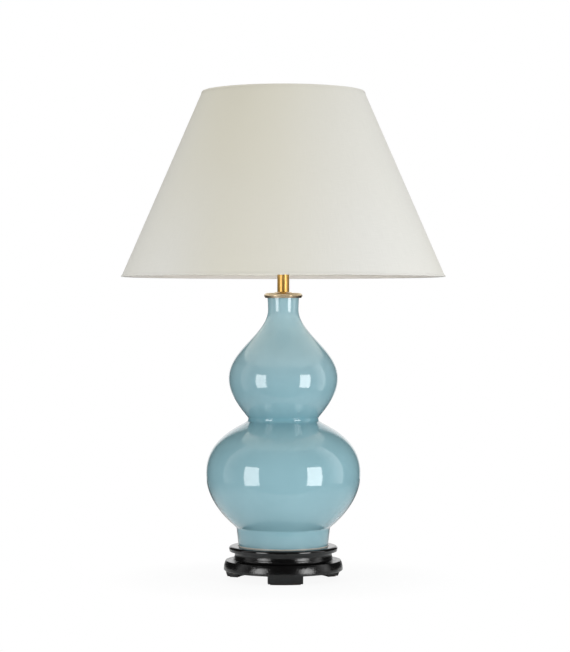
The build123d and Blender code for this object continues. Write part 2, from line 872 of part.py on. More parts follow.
with BuildPart() as shade_top_ring:
    with BuildSketch(Plane.XZ):
        with Locations((top_wire_reach, top_wire_height)):
            Circle(wire_radius)
    revolve(axis=Axis.Z)
shade_top_ring.part.label = "shade_top_ring"
export_step(shade_top_ring.part, "parts/shade_top_ring.step")


def rolled_edge(edge, inwards, wire_reach):
    """Strip folded round one edge of the shade: down outside, across, and back up inside.

    edge is the height of the cloth's edge, and inwards is 1 at the bottom and -1 at the top.
    """
    fold = edge - inwards * edge_allowance
    outer_end = edge + inwards * trim_outer_leg
    inner_radius = wire_reach - wire_radius - edge_allowance
    return FilletPolyline(
        (shade_radius(outer_end, -edge_allowance), outer_end),
        (shade_radius(fold, -edge_allowance), fold),
        (inner_radius, fold),
        (inner_radius, edge + inwards * trim_inner_leg),
        radius=trim_corner,
    )


with BuildPart() as bottom_trim:
    with BuildSketch(Plane.XZ):
        with BuildLine():
            rolled_edge(cloth_base, 1, bottom_wire_reach)
            offset(amount=trim_thickness, side=Side.RIGHT)
        make_face()
    revolve(axis=Axis.Z)
bottom_trim.part.label = "bottom_trim"
export_step(bottom_trim.part, "parts/bottom_trim.step")

with BuildPart() as top_trim:
    with BuildSketch(Plane.XZ):
        with BuildLine():
            rolled_edge(cloth_top, -1, top_wire_reach)
            offset(amount=trim_thickness, side=Side.LEFT)
        make_face()
    revolve(axis=Axis.Z)
    # notches in the inner leg, where the spider's arms come through to the ring
    with BuildSketch(Plane.XY.offset(cloth_top - 2 * trim_inner_leg)):
        for angle in spider_arm_angles:
            with Locations(Location((0, 0, 0), (0, 0, angle))):
                with Locations((top_wire_reach - wire_radius - edge_allowance, 0)):
                    Rectangle(
                        2 * edge_allowance, 2 * (spider_arm_radius + trim_notch_clearance)
                    )
    extrude(amount=2 * trim_inner_leg, mode=Mode.SUBTRACT)
top_trim.part.label = "top_trim"
export_step(top_trim.part, "parts/top_trim.step")

arm_foot_height = gallery_top + duplex_sheet + spider_arm_radius - spider_weld

with BuildPart() as shade_spider:
    with BuildSketch(Plane.XY.offset(gallery_top)):
        Circle(duplex_outer_radius)
        Circle(duplex_inner_radius, mode=Mode.SUBTRACT)
    extrude(amount=duplex_sheet)
    for angle in spider_arm_angles:
        with BuildLine(upright(angle)):
            arm = FilletPolyline(
                (duplex_inner_radius + spider_arm_radius, arm_foot_height),
                (duplex_outer_radius + spider_arm_foot, arm_foot_height),
                (top_wire_reach, top_wire_height),
                radius=spider_arm_bend,
            )
        with BuildSketch(Plane(arm @ 0, z_dir=arm % 0)):
            Circle(spider_arm_radius)
        sweep(path=arm)
    add(shade_top_ring.part, mode=Mode.SUBTRACT)
shade_spider.part.label = "shade_spider"
export_step(shade_spider.part, "parts/shade_spider.step")
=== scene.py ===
# %% [markdown]
# # Double gourd lamp
#
# This lesson dresses a table lamp: a glazed gourd vase on a black stand, a brass cap and stem,
# and an ivory empire shade. Its hard parts come from a CAD model. They could be modelled again
# here, but a fixed frame keeps every size right, so we load it and only add what a CAD model
# leaves out: cloth, threads, ribs, welds and finishes. The stage and the finishes are in metres,
# and new pieces are worked out in millimetres.

# %% Load the fixed frame
from math import atan, cos, degrees, pi, radians, sin, tan

import bmesh
import bpy
import numpy as np
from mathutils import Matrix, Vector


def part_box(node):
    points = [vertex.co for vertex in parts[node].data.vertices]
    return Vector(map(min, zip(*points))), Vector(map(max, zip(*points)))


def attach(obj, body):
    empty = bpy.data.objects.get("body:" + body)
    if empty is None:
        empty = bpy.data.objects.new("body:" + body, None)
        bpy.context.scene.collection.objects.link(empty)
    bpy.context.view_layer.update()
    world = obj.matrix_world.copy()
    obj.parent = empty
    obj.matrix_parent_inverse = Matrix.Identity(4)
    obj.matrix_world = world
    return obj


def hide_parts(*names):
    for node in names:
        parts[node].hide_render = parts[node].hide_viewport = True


MM, MICRON = 0.001, 0.000001  # in metres

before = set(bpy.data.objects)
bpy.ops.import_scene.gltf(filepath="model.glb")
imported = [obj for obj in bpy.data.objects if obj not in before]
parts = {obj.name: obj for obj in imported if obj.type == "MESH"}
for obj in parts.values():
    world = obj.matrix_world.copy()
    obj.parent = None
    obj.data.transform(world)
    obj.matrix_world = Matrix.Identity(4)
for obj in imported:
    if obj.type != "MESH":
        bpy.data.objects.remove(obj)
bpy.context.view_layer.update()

# %% [markdown]
# ## The camera
#
# A product photograph is taken from far away with a long lens, so the lamp looks almost as on a
# drawing. The eye is level with the vase's bulb, and stands a little to the left of the front
# foot. We could aim the camera with a constraint, but the picture only needs two small angles,
# so they are given as two numbers.

# %% Camera
PICTURE_HEIGHT = 652  # its long side, in pixels
FOCAL_PIXELS = 2192  # focal length, in pixels
SENSOR = 36  # long side of the sensor, in millimetres
EYE_DISTANCE, EYE_HEIGHT = 2.930, 0.3629
EYE_ASIDE = 0.0023  # the eye is this far to the right of the line that meets the lamp's axis
AZIMUTH = radians(-2.4)  # round the lamp, from the front towards its right
TILT = radians(0.494)  # below level

lens = bpy.data.cameras.new("camera")
lens.sensor_width = SENSOR
lens.lens = FOCAL_PIXELS / PICTURE_HEIGHT * SENSOR
camera = bpy.data.objects.new("camera", lens)
camera.location = (EYE_DISTANCE * sin(AZIMUTH) + EYE_ASIDE * cos(AZIMUTH),
                   EYE_ASIDE * sin(AZIMUTH) - EYE_DISTANCE * cos(AZIMUTH), EYE_HEIGHT)
camera.rotation_euler = (pi / 2 - TILT, 0, AZIMUTH)
bpy.context.scene.collection.objects.link(camera)
bpy.context.scene.camera = camera
bpy.context.scene.view_settings.view_transform = "Standard"
print("lens", round(lens.lens, 1), "mm, view", round(degrees(2 * atan(SENSOR / 2 / lens.lens)), 2))

# %% [markdown]
# ## Shader sums
#
# A finish is a small graph of nodes. It could be wired link by link, but that hides the idea.
# So one class wraps a socket and turns `1 - mask * 0.2` into Math nodes, and one method makes
# any other node. The finish then reads like the formula it is.


# %% Wrapped sockets
class Signal:
    """An output socket that can be used in sums. Each operator adds one Math node."""

    def __init__(self, graph, socket):
        self.graph, self.socket = graph, socket

    def maths(self, operation, *values):
        """One Math node over values or signals."""
        return self.graph.node("ShaderNodeMath", {"operation": operation}, dict(enumerate(values)))

    def __add__(self, other):
        return self.maths("ADD", self, other)

    def __sub__(self, other):
        return self.maths("SUBTRACT", self, other)

    def __rsub__(self, other):
        return self.maths("SUBTRACT", other, self)

    def __mul__(self, other):
        return self.maths("MULTIPLY", self, other)

    def __truediv__(self, other):
        return self.maths("DIVIDE", self, other)

    def __rtruediv__(self, other):
        return self.maths("DIVIDE", other, self)

    def __pow__(self, other):
        return self.maths("POWER", self, other)

    def __gt__(self, other):
        return self.maths("GREATER_THAN", self, other)

    def __lt__(self, other):
        return self.maths("LESS_THAN", self, other)

    __radd__, __rmul__ = __add__, __mul__

    def wave(self):
        """Sine of the value."""
        return self.maths("SINE", self)

    def size(self):
        """The value without its sign."""
        return self.maths("ABSOLUTE", self)

    def ramp(self, low, high):
        """0 up to low, 1 from high, and a smooth step between."""
        settings = {"interpolation_type": "SMOOTHSTEP"}
        return self.graph.node("ShaderNodeMapRange", settings, {0: self, 1: low, 2: high})

    def hump(self, middle, width):
        """1 at the middle, falling to a half at a width from it: 1 / (1 + (distance / width)^2)."""
        away = (self - middle) * (1 / width)
        return 1 / (away * away + 1)


# %% Node graph
class Graph:
    """A node tree that is written as formulas."""

    def __init__(self, tree):
        self.tree = tree

    def node(self, kind, settings, inputs, out=0):
        """Adds a node, sets its settings, then fills its inputs with values or signals."""
        made = self.tree.nodes.new(kind)
        for setting, value in settings.items():
            setattr(made, setting, value)
        for key, value in inputs.items():
            if isinstance(value, Signal):
                self.tree.links.new(value.socket, made.inputs[key])
            else:
                made.inputs[key].default_value = value
        return Signal(self, made.outputs[out])

    def split(self, vector):
        """The three parts of a vector."""
        first = self.node("ShaderNodeSeparateXYZ", {}, {0: vector})
        return [Signal(self, socket) for socket in first.socket.node.outputs]

    def rays(self):
        """The kinds of ray by name, each 1 where such a ray looks here and else 0."""
        first = self.node("ShaderNodeLightPath", {}, {})
        return {socket.name: Signal(self, socket) for socket in first.socket.node.outputs}


# %% [markdown]
# ## A finish
#
# Every finish is one Principled shader. Pictures could be wrapped round the pieces instead, but
# a formula stays sharp close up. Numbers that are the same all over the piece are set on the
# shader's sockets, and only what changes over the surface is linked: colour, roughness, coat
# weight and the bump. Positions come from Object coordinates, in metres, so a grain keeps its
# real size.


# %% Finish class
class Finish(Graph):
    """One material: a Principled shader, and the nodes that feed it."""

    def __init__(self, name, **plain):
        self.material = bpy.data.materials.new(name)
        self.material.use_nodes = True
        super().__init__(self.material.node_tree)
        self.shader = self.tree.nodes["Principled BSDF"]
        for socket, value in plain.items():
            self.shader.inputs[socket.replace("_", " ")].default_value = value
        self.place = self.node("ShaderNodeTexCoord", {}, {}, "Object")
        self.x, self.y, self.z = self.split(self.place)
        self.bumps = []

    def stretched(self, scale, source=None):
        """Object coordinates, or another vector, times a scale for each axis."""
        source = source or self.place
        return self.node("ShaderNodeVectorMath", {"operation": "MULTIPLY"}, {0: source, 1: scale})

    def noise(self, scale, detail, vector=None, rough=0.5):
        """Smooth noise from 0 to 1. The scale is in waves to a metre."""
        inputs = {"Vector": vector or self.place, "Scale": scale, "Detail": detail, "Roughness": rough}
        return self.node("ShaderNodeTexNoise", {}, inputs)

    def cells(self, scale):
        """Distance to the nearest of many scattered points, in cells. The scale is cells a metre."""
        return self.node("ShaderNodeTexVoronoi", {}, {"Vector": self.place, "Scale": scale})

    def reach(self):
        """Distance from the lamp's axis: the root of x * x + y * y."""
        return (self.x * self.x + self.y * self.y) ** 0.5

    def mix(self, factor, first, second):
        """A colour between two colours."""
        sockets = {0: factor, 6: first, 7: second}
        return self.node("ShaderNodeMix", {"data_type": "RGBA"}, sockets, 2)

    def feed(self, socket, value):
        """Links a signal to a socket of the shader."""
        self.tree.links.new(value.socket, self.shader.inputs[socket])

    def bump(self, height, microns):
        """Adds a relief on top of the ones before: a height of 1 stands out by so many microns."""
        inputs = {"Height": height, "Distance": microns * MICRON}
        if self.bumps:
            inputs["Normal"] = self.bumps[-1]
        self.bumps.append(self.node("ShaderNodeBump", {}, inputs))
        self.feed("Normal", self.bumps[-1])


def rgb(red, green, blue):
    """A colour socket's value from the linear parts."""
    return (red, green, blue, 1.0)


finishes = {}  # by the name of their slot

# %% [markdown]
# ## Glaze
#
# Duck-egg glaze is coloured glass melted over clay. It runs while it is hot: it lies thick and
# deep in the two creases, and thinner and paler over the lip. The upper bulb is painted paler,
# a painted reflection of the lit shade above it. Below the last line of glaze the bare clay
# shows, where the potter wiped the foot. The gloss could be the shader's own, but a clear coat
# can be left off the bare clay, so the coat has most of it. The throwing rings leave the
# faintest ripple.

# %% Glaze colour
CREASES = (0.2137, 0.0670)  # heights where the glaze pools
POOLS = (0.006, 0.004)  # how far above and below its crease each pool is half as deep
# The paler upper bulb is a painted reflection of the lit shade above it.
BULB_PAINTED_REFLECTION = (0.24, 0.30)  # heights between which the glaze turns paler
LIP_PALES = (0.366, 0.379)
SPECK_CELLS = 420  # places for a speck, to a metre
SPECK = 0.055  # radius of a speck, in cells

glaze = Finish("blue_glaze", Coat_Roughness=0.03, Coat_IOR=1.5, IOR=1.5, Specular_IOR_Level=0.2)
cloudy = glaze.noise(14, 4)
blue = glaze.mix(cloudy.ramp(0.3, 0.7), rgb(0.238, 0.414, 0.469), rgb(0.262, 0.447, 0.504))
pool = glaze.z.hump(CREASES[0], POOLS[0]) + glaze.z.hump(CREASES[1], POOLS[1]) * 0.25
blue = glaze.mix(pool * (cloudy * 0.4 + 0.6) * 0.55, blue, rgb(0.095, 0.300, 0.375))
# Painted reflection: the upper bulb is painted paler, as the lit shade above would show in its gloss.
blue = glaze.mix(glaze.z.ramp(*BULB_PAINTED_REFLECTION) * 0.5, blue, rgb(0.322, 0.470, 0.528))
blue = glaze.mix(glaze.z.ramp(*LIP_PALES) * 0.25, blue, rgb(0.33, 0.50, 0.53))
specks = (glaze.cells(SPECK_CELLS) < SPECK) * (glaze.noise(60, 2) > 0.60)
blue = glaze.mix(specks * 0.35, blue, rgb(0.09, 0.20, 0.23))
print("glaze colour", len(glaze.tree.nodes), "nodes")

# %% Bare clay
GLAZE_LINE = 0.0451  # the clay is bare below this height
LINE_WANDER, LINE_EDGE = 0.0012, 0.0002  # how far the line strays, and half its soft edge

fine = glaze.noise(260, 2)
line = glaze.z + (glaze.noise(55, 3) - 0.5) * LINE_WANDER
bare = 1 - line.ramp(GLAZE_LINE - LINE_EDGE, GLAZE_LINE + LINE_EDGE)
clay = glaze.mix(fine, rgb(0.50, 0.47, 0.41), rgb(0.64, 0.61, 0.55))
glaze.feed("Base Color", glaze.mix(bare, blue, clay))
glaze.feed("Roughness", bare * 0.6 + cloudy * 0.04 + 0.09)
glaze.feed("Coat Weight", 1 - bare)
print("with bare clay", len(glaze.tree.nodes), "nodes")

# %% Throwing rings
RING_PITCH = 0.0043  # from one ring to the next

rings = (glaze.z * (2 * pi / RING_PITCH) + cloudy * 3).wave() * 0.5 + 0.5
glaze.bump(rings, 6)
glaze.bump(glaze.noise(70, 2), 40)
glaze.bump(fine * bare, 300)
finishes["blue_glaze"] = glaze.material
print("with ripples", len(glaze.tree.nodes), "nodes")

# %% [markdown]
# ## Black lacquer
#
# The stand is turned hardwood under black lacquer. The rim was rubbed to a mirror, while on the
# waist and the apron the grain still shows as ripples in the shine. The feet, which slide over
# tables, wear through to a warm brown at the bottom. A flat black would hide all that, so the
# roughness and the bump carry the finish.

# %% Lacquer finish
RIM_BASE, RIM_EDGE = 0.0371, 0.001  # where the rubbed rim begins, and half its soft edge
WEAR = (0.0014, 0.0045)  # heights between which the wear dies away

lacquer = Finish("black_lacquer", IOR=1.55)
grain = lacquer.noise(90, 4, lacquer.stretched((1, 1, 9)))
pores = lacquer.noise(620, 2, lacquer.stretched((1, 1, 0.6)))
rubbed = lacquer.z.ramp(RIM_BASE - RIM_EDGE, RIM_BASE + RIM_EDGE)
worn = lacquer.noise(120, 5) * (1 - lacquer.z.ramp(*WEAR))
black = lacquer.mix(grain, rgb(0.0018, 0.0018, 0.0021), rgb(0.0040, 0.0038, 0.0036))
lacquer.feed("Base Color", lacquer.mix(worn.ramp(0.42, 0.60), black, rgb(0.045, 0.024, 0.014)))
lacquer.feed("Roughness", (1 - rubbed) * 0.09 + grain * 0.05 + pores * 0.05 + 0.03)
lacquer.bump(grain, 60)
lacquer.bump(pores * (1 - rubbed * 0.8), 200)
finishes["black_lacquer"] = lacquer.material
print("lacquer", len(lacquer.tree.nodes), "nodes")

# %% [markdown]
# ## Brass
#
# The stem and the lampholder are yellow brass, the cap a paler alloy. Both are polished, then
# lacquered. Polish leaves hairlines round a turned piece and along a drawn tube, and lacquer
# ages in faint darker clouds. Each brass could be a graph of its own, but they differ only in
# their tones, shine and hairlines, so one function makes them all.


# %% Brass finishes
def brass(name, light, dark, roughness, hairline):
    """Metal between two tones by slow clouds, with fine lines.

    hairline scales the lines for each axis: the smaller it is, the longer they are that way.
    """
    metal = Finish(name, Metallic=1.0)
    clouds = metal.noise(38, 4)
    lines = metal.noise(900, 2, metal.stretched(hairline))
    metal.feed("Base Color", metal.mix(clouds.ramp(0.35, 0.8), light, dark))
    metal.feed("Roughness", clouds * 0.06 + lines * 0.08 + roughness)
    metal.bump(lines, 12)
    finishes[name] = metal.material
    print(name, len(metal.tree.nodes), "nodes")


brass("gold_brass", rgb(0.64, 0.395, 0.13), rgb(0.53, 0.30, 0.07), 0.28, (1, 1, 0.03))
brass("pale_brass", rgb(0.72, 0.59, 0.42), rgb(0.52, 0.39, 0.25), 0.04, (0.2, 0.2, 2))
brass("contact_brass", rgb(0.78, 0.58, 0.24), rgb(0.50, 0.34, 0.12), 0.18, (1, 1, 1))

# %% [markdown]
# ## Steel, nickel and solder
#
# The clamp under the stand is zinc-plated steel, with the cloudy blooms that plating shows. The
# bulb's thread is rolled from bright nickel-plated sheet, and its end is a dull blob of solder.
# Plain grey metal would do from afar, but a lamp is also turned over, so each gets blooms and
# a fine grit.


# %% Grey metals
def grey_metal(name, light, dark, roughness, bloom, microns):
    """Metal with blooms of a second tone, bloom waves to a metre, and a grit as deep as given."""
    metal = Finish(name, Metallic=1.0)
    blooms = metal.noise(bloom, 4, rough=0.6)
    grit = metal.noise(1500, 2)
    metal.feed("Base Color", metal.mix(blooms.ramp(0.35, 0.7), light, dark))
    metal.feed("Roughness", blooms * 0.2 + grit * 0.06 + roughness)
    metal.bump(grit, microns)
    finishes[name] = metal.material
    print(name, len(metal.tree.nodes), "nodes")


grey_metal("plated_steel", rgb(0.62, 0.62, 0.60), rgb(0.44, 0.44, 0.41), 0.18, 130, 10)
grey_metal("bulb_metal", rgb(0.72, 0.72, 0.71), rgb(0.52, 0.52, 0.50), 0.14, 200, 10)
grey_metal("solder", rgb(0.60, 0.60, 0.61), rgb(0.36, 0.36, 0.37), 0.32, 420, 60)

# %% [markdown]
# ## Moulded, felted and fired parts
#
# Small parts deserve a finish too, because a lamp is also looked at from below. Felt is a mat
# of fibres, moulded parts carry the grain of their mould, rubber is dull with dust in it,
# porcelain and opal glass are smooth under a thin gloss, and enamelled wire has the texture
# of orange peel. Glass could let light through, but opal glass that isn't lit looks as white
# as porcelain, and a solid white renders faster. All are two tones, a mottle and a little dust,
# so one function makes them.


# %% Dull and glossy small parts
def small_part(name, light, dark, roughness, scale, microns, stretch=(1, 1, 1), **plain):
    """Two tones mixed by noise of one scale, which is also the relief."""
    made = Finish(name, **plain)
    mottle = made.noise(scale, 4, made.stretched(stretch))
    dust = made.noise(60, 3)
    made.feed("Base Color", made.mix(mottle, dark, light))
    made.feed("Roughness", mottle * 0.12 + dust * 0.08 + roughness)
    made.bump(mottle, microns)
    finishes[name] = made.material
    print(name, len(made.tree.nodes), "nodes")


small_part("dark_felt", rgb(0.045, 0.044, 0.045), rgb(0.014, 0.014, 0.015), 0.8, 2600, 300,
           (1, 1, 0.4), Sheen_Weight=0.4, Sheen_Roughness=0.5)
small_part("black_plastic", rgb(0.016, 0.016, 0.017), rgb(0.010, 0.010, 0.011), 0.36, 1800, 40)
small_part("black_rubber", rgb(0.022, 0.021, 0.020), rgb(0.012, 0.012, 0.012), 0.62, 900, 30)
small_part("porcelain", rgb(0.86, 0.84, 0.79), rgb(0.80, 0.78, 0.71), 0.12, 160, 30,
           Coat_Weight=0.6, Coat_Roughness=0.05)
small_part("white_wire", rgb(0.82, 0.82, 0.79), rgb(0.74, 0.74, 0.70), 0.28, 1300, 40,
           Coat_Weight=0.3, Coat_Roughness=0.12)
small_part("black_glass", rgb(0.012, 0.010, 0.014), rgb(0.006, 0.005, 0.008), 0.06, 300, 10,
           Coat_Weight=0.5)
small_part("opal_glass", rgb(0.86, 0.86, 0.83), rgb(0.81, 0.81, 0.77), 0.16, 45, 20,
           Coat_Weight=0.7, Coat_Roughness=0.08)

# %% [markdown]
# ## Cloth
#
# The shade is ivory cotton laminated on a white lining. Its weave follows the cone, so the
# cloth finishes read a UV map in metres: u runs round the shade and v up the slant. A picture
# of cloth would be quicker, but it repeats and blurs. Warp and weft are two rows of sine
# ridges, with a few slubs where a thread is thicker. Ivory cloth yellows with the years in soft
# patches, and one broad band left of the front is painted warm light. The inner leg of a rolled
# edge is painted a warm grey, as painted shade inside the rim. The lining was pressed smooth
# between rollers, which left faint level streaks.

# %% Cloth finishes
THREAD = 0.00048  # from one thread to the next
WARM_LIGHT_RISES, WARM_LIGHT_FALLS = (-0.06, 0.16), (0.07, 0.19)  # how far left the painted warm light comes and goes
LEG_SHADE_FROM = (0.0074, 0.0080)  # how far along the rolled edge's section its painted shade comes in


def woven(name, light, dark, warm, microns, leg_shade=None):
    """Plain weave: ridges of warp and weft take turns, as sin u times sin v changes its sign.

    warm is the tone of the yellowed patches and of the painted warm light, and leg_shade is
    the painted shade of a strip's inner leg, where it has one.
    """
    cloth = Finish(name, Roughness=0.85, Sheen_Weight=0.15, Sheen_Roughness=0.5)
    thread_map = cloth.node("ShaderNodeUVMap", {"uv_map": "cloth"}, {})
    across, along, _ = cloth.split(thread_map)
    over = ((across * (pi / THREAD)).wave() * (along * (pi / THREAD)).wave()) * 0.5 + 0.5
    slub_u = cloth.noise(1, 2, cloth.stretched((60, 2100, 1), thread_map))
    slub_v = cloth.noise(1, 2, cloth.stretched((2100, 45, 1), thread_map))
    slubs = (slub_u + slub_v) * 0.5
    uneven = cloth.noise(9, 3)
    tone = cloth.mix(slubs.ramp(0.35, 0.65), dark, light)
    patches = cloth.noise(3.2, 1).ramp(0.35, 0.65) * 0.3
    # Painted warm light: a broad band left of the front is tinted warm. The soft patches are
    # yellowing.
    painted_warm_rising = ((cloth.x + cloth.y * 0.45) * -1 + (cloth.z - 0.5) * 0.30).ramp(*WARM_LIGHT_RISES)
    painted_warm_falling = 1 - (cloth.x * -1).ramp(*WARM_LIGHT_FALLS)
    tone = cloth.mix(painted_warm_rising * painted_warm_falling * 0.75 + patches, tone, warm)
    # Painted shade: the inner leg of a rolled edge is darkened to a warm grey, as the shade inside the
    # rim.
    if leg_shade:
        tone = cloth.mix(along.ramp(*LEG_SHADE_FROM) * (uneven * 0.2 + 0.85), tone, leg_shade)
    cloth.feed("Base Color", tone)
    cloth.feed("Roughness", slubs * 0.12 + uneven * 0.06 + 0.72)
    cloth.bump(over * 0.5 + slubs * 0.5, microns)
    finishes[name] = cloth.material
    print(name, len(cloth.tree.nodes), "nodes")


woven("ivory_cloth", rgb(0.715, 0.712, 0.675), rgb(0.675, 0.672, 0.635),
      rgb(0.690, 0.665, 0.555), 100)
# The last colour is the painted shade on the inner leg of the rolled edges.
woven("ivory_binding", rgb(0.735, 0.728, 0.69), rgb(0.695, 0.688, 0.65),
      rgb(0.71, 0.685, 0.58), 120, rgb(0.53, 0.495, 0.46))

# %% Lining finish
lining = Finish("white_lining")
calender = lining.noise(1, 2, lining.stretched((90, 90, 1400)))
pressed = lining.noise(26, 3)
lining.feed("Base Color", lining.mix(pressed, rgb(0.85, 0.835, 0.78), rgb(0.80, 0.78, 0.72)))
lining.feed("Roughness", calender * 0.14 + pressed * 0.08 + 0.36)
lining.bump(calender, 50)
finishes["white_lining"] = lining.material
print(len(finishes), "finishes")

# %% [markdown]
# ## Finishes on the CAD parts
#
# Each CAD part came with a plain material named after its slot. We could pick each part's
# finish by hand, but the slot's name already says which one it is.

# %% Put the finishes on
slots = set()
for part in parts.values():
    for holder in part.material_slots:
        slots.add(holder.material.name)
        holder.material = finishes[holder.material.name]
print("slots", sorted(slots))

# %% [markdown]
# ## Surfaces from grids
#
# Cloth, threads and ribs are all one thing: a grid of points bent round the lamp's axis. A
# grid could be grown with modifiers, but the formula is exact, and numpy works out all of its
# points at once.

# %% Corners of a grid
DOUBLES = 1e-7  # points nearer to each other than this become one, in metres


def face_corners(rows, columns, closed):
    """Rows and columns of each face's corners: (r, c), (r, c + 1), (r + 1, c + 1), (r + 1, c).

    closed says whether the last row meets the first, and the last column the first.
    """
    row, column = np.meshgrid(
        np.arange(rows if closed[0] else rows - 1),
        np.arange(columns if closed[1] else columns - 1),
        indexing="ij",
    )
    corner_rows = np.stack([row, row, row + 1, row + 1], -1).reshape(-1, 4)
    corner_columns = np.stack([column, column + 1, column + 1, column], -1).reshape(-1, 4)
    return corner_rows, corner_columns


def cleaned(mesh, crisp):
    """Merges doubles, turns all faces outwards and smooths edges of less than crisp degrees."""
    shape = bmesh.new()
    shape.from_mesh(mesh)
    bmesh.ops.remove_doubles(shape, verts=shape.verts, dist=DOUBLES)
    bmesh.ops.recalc_face_normals(shape, faces=shape.faces)
    shape.to_mesh(mesh)
    shape.free()
    mesh.shade_smooth()
    mesh.set_sharp_from_angle(angle=radians(crisp))


# %% Grid to mesh
def surface(name, points, slot, body, stands_for=(), closed=(True, True), cloth_map=None, crisp=38):
    """A mesh over a grid of points[row, column], or several grids: four neighbours make one face.

    cloth_map gives u for each column and v for each row, with one more column where they close.
    """
    grids, rows, columns = points.reshape((-1,) + points.shape[-3:]).shape[:3]
    corner_rows, corner_columns = face_corners(rows, columns, closed)
    faces = (corner_rows % rows) * columns + corner_columns % columns
    faces = (faces + np.arange(grids)[:, None, None] * rows * columns).reshape(-1, 4)
    mesh = bpy.data.meshes.new(name)
    mesh.from_pydata(points.reshape(-1, 3).tolist(), [], faces.tolist())
    if cloth_map is not None:
        layer = mesh.uv_layers.new(name="cloth")
        across, along = cloth_map
        spots = np.stack([across[corner_columns], along[corner_rows % rows]], -1)
        layer.uv.foreach_set("vector", spots.astype(np.float32).ravel())
    cleaned(mesh, crisp)
    mesh.materials.append(finishes[slot])
    piece = bpy.data.objects.new(name, mesh)
    bpy.context.scene.collection.objects.link(piece)
    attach(piece, body)
    if stands_for:
        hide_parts(*stands_for)
    print(name, len(mesh.polygons), "faces")
    return piece


# %% Points round the axis
def turned(radius, height, angle):
    """Points at a radius from the axis, an angle round it and a height, all in millimetres."""
    radius, height, angle = np.broadcast_arrays(radius, height, angle)
    return np.stack([radius * np.cos(angle), radius * np.sin(angle), height], -1) * MM


def round_angles(count):
    """Equal angles of one full turn."""
    return np.arange(count) / count * 2 * pi


def angles_from(middle, angles):
    """Angles counted from a middle one, from minus half a turn to plus half a turn."""
    return (angles - middle + pi) % (2 * pi) - pi


# %% [markdown]
# ## The cone of the shade
#
# The cover and the lining are flat sheets cut as a fan, rolled into a cone, and lapped where
# their ends meet, behind on the left. A cone could simply be a primitive, but the lap is what
# tells the eye that this is a sheet. So across the lap one face steps by nearly half a
# millimetre, and each layer is a closed skin with two faces.

# %% Cone sizes
SHADE_BASE, SHADE_TOP = 403.2, 650.6
BASE_RADIUS, TOP_RADIUS = 216.0, 108.1
COVER, LINER = 0.8, 0.6  # thicknesses
HEM = 0.5  # the cloth ends this far inside the rolled edge

lean = atan((BASE_RADIUS - TOP_RADIUS) / (SHADE_TOP - SHADE_BASE))
cloth_base, cloth_top = SHADE_BASE + HEM, SHADE_TOP - HEM
slant = (cloth_top - cloth_base) / cos(lean)
print("lean", round(degrees(lean), 2), "slant", round(slant, 1))


def cone_radius(height, depth=0.0):
    """Radius of the slanted wall at a height, a depth in from the outside of the cover."""
    return BASE_RADIUS - (height - SHADE_BASE) * tan(lean) - depth / cos(lean)


# %% The fan it is cut from
LAP_ANGLE = radians(144.5)
LAP_WIDTH = 12.0

apex_to_base = BASE_RADIUS / sin(lean)
apex_to_top = apex_to_base - slant
fan_angle = 2 * pi * sin(lean)
fan_width = 2 * apex_to_base * sin(fan_angle / 2)
fan_length = apex_to_base - apex_to_top * cos(fan_angle / 2)
fan_area = fan_angle / 2 * (apex_to_base**2 - apex_to_top**2) + LAP_WIDTH * slant
flat = (fan_length * MM, fan_width * MM)
flat_area = fan_area * MM * MM
print("fan", round(fan_width), "x", round(fan_length), "area", round(flat_area, 4))

# %% Rolled sheets
LAP_STEP, LAP_RAMP = 0.45, 0.8  # how far a face steps across the lap, and how wide each step is
LAP_SIDE, LAP_COLUMNS = 0.09, 25  # finer columns reach this angle to each side of the lap
CLOTH_ROWS, CLOTH_COLUMNS = 26, 480
PULL, PULLS, PULL_START = 0.10, 3, 0.7  # how far it is drawn out of round, how often, and a phase
MAP_RADIUS = 0.161  # a little above half the height, where u is a true length, in metres


def cone_sheet(name, slot, node, depth, thickness, lap_outside):
    """A closed skin round the cone: up its outer face, over, and down its inner face.

    Radius = the cone's + PULL * sin(PULLS * angle + phase) * sin(pi * share of the height).
    Across the lap the outer face stands LAP_STEP further out, or else the inner face further
    in, with a short ramp at each edge.
    """
    share = np.linspace(0, 1, CLOTH_ROWS)
    height = cloth_base + (cloth_top - cloth_base) * share
    coarse = round_angles(CLOTH_COLUMNS)
    coarse = coarse[np.abs(angles_from(LAP_ANGLE, coarse)) >= LAP_SIDE]
    close = LAP_ANGLE + np.linspace(-LAP_SIDE, LAP_SIDE, LAP_COLUMNS)
    angles = np.sort(np.concatenate([coarse, close]))
    outer = cone_radius(height, depth)[:, None]
    inner = cone_radius(height, depth + thickness)[:, None]
    distance = np.abs(angles_from(LAP_ANGLE, angles)) * outer
    lap = LAP_STEP * np.clip(((LAP_WIDTH + LAP_RAMP) / 2 - distance) / LAP_RAMP, 0, 1)
    pull = PULL * np.sin(PULLS * angles + PULL_START) * np.sin(pi * share)[:, None]
    outer = outer + pull + lap * lap_outside
    inner = inner + pull - lap * (not lap_outside)
    rows = np.concatenate([turned(outer, height[:, None], angles),
                           turned(inner, height[:, None], angles)[::-1]])
    columns = np.append(angles, angles[0] + 2 * pi) * MAP_RADIUS
    up = np.concatenate([share, share[::-1]]) * slant * MM
    return surface(name, rows, slot, "shade", [node], cloth_map=(columns, up))


# %% Cover and lining
cover = cone_sheet("cover_cloth", "ivory_cloth", "shade_cover", 0.0, COVER, True)
lining_sheet = cone_sheet("lining_sheet", "white_lining", "shade_liner", COVER, LINER, False)

# %% [markdown]
# ## Rolled edges
#
# At both rims a strip of the same cloth is rolled over a wire ring and glued down. A bevelled
# ring would be simpler, but seen close the strip is never quite even: the free edge inside
# wanders, and where the ends of the strip lap it is thicker. At the top the strip is snipped
# where the three arms of the frame come through.

